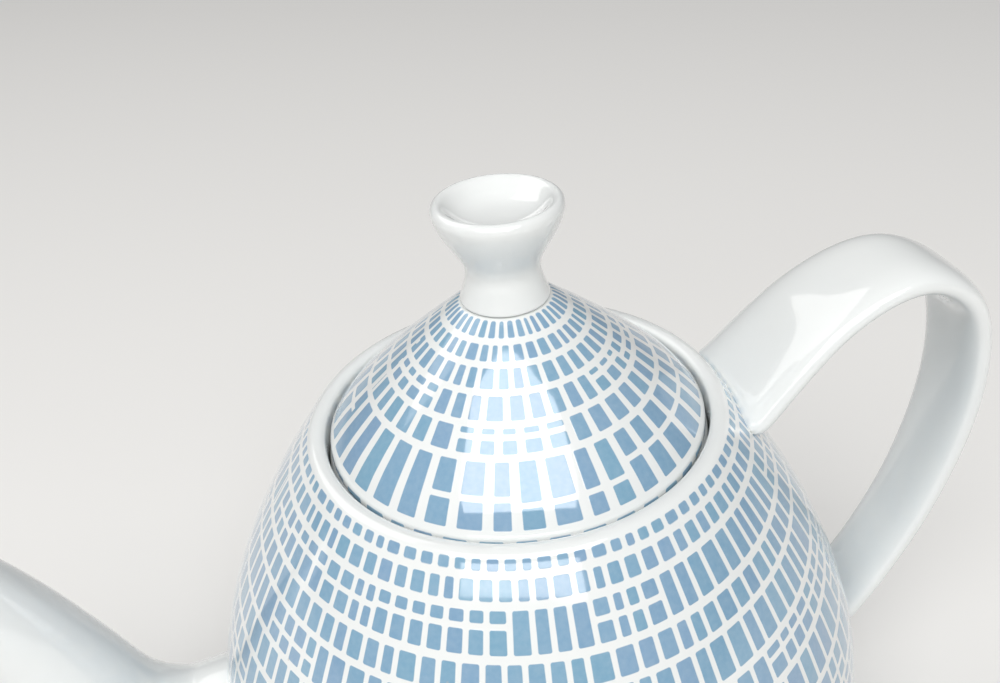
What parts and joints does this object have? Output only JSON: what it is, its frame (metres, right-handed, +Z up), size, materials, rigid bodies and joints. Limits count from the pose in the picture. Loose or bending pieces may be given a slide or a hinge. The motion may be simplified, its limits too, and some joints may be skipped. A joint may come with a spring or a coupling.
{
  "type": "teapot",
  "caption": "Round-bellied porcelain teapot with a cone-shaped lift-off lid, waisted knob, wide strap loop handle and a short upswept spout.",
  "frame": {"origin": "on the pot's axis, in the plane of the table it stands on", "axes": "+Z up the pot's axis, +X towards the handle, -X towards the spout"},
  "size_m": [0.2422, 0.148, 0.1596],
  "materials": {
    "printed_glaze": "gloss glaze over a pale blue mosaic print",
    "lid_glaze": "gloss glaze over a pale blue mosaic print",
    "white_glaze": "gloss white glaze",
    "bare_clay": "matt unglazed porcelain"
  },
  "bodies": {
    "pot": {"pot_body": "printed_glaze", "foot_ring": "bare_clay", "lid_gallery": "white_glaze", "spout": "white_glaze", "handle": "white_glaze"},
    "lid": {"lid_dome": "lid_glaze", "lid_skirt": "white_glaze", "lid_knob": "white_glaze"}
  },
  "joints": [
    {"name": "lid_lift", "type": "slide", "parent": "pot", "child": "lid", "axis": [0, 0, 1], "range_m": [0, 0.06]}
  ]
}
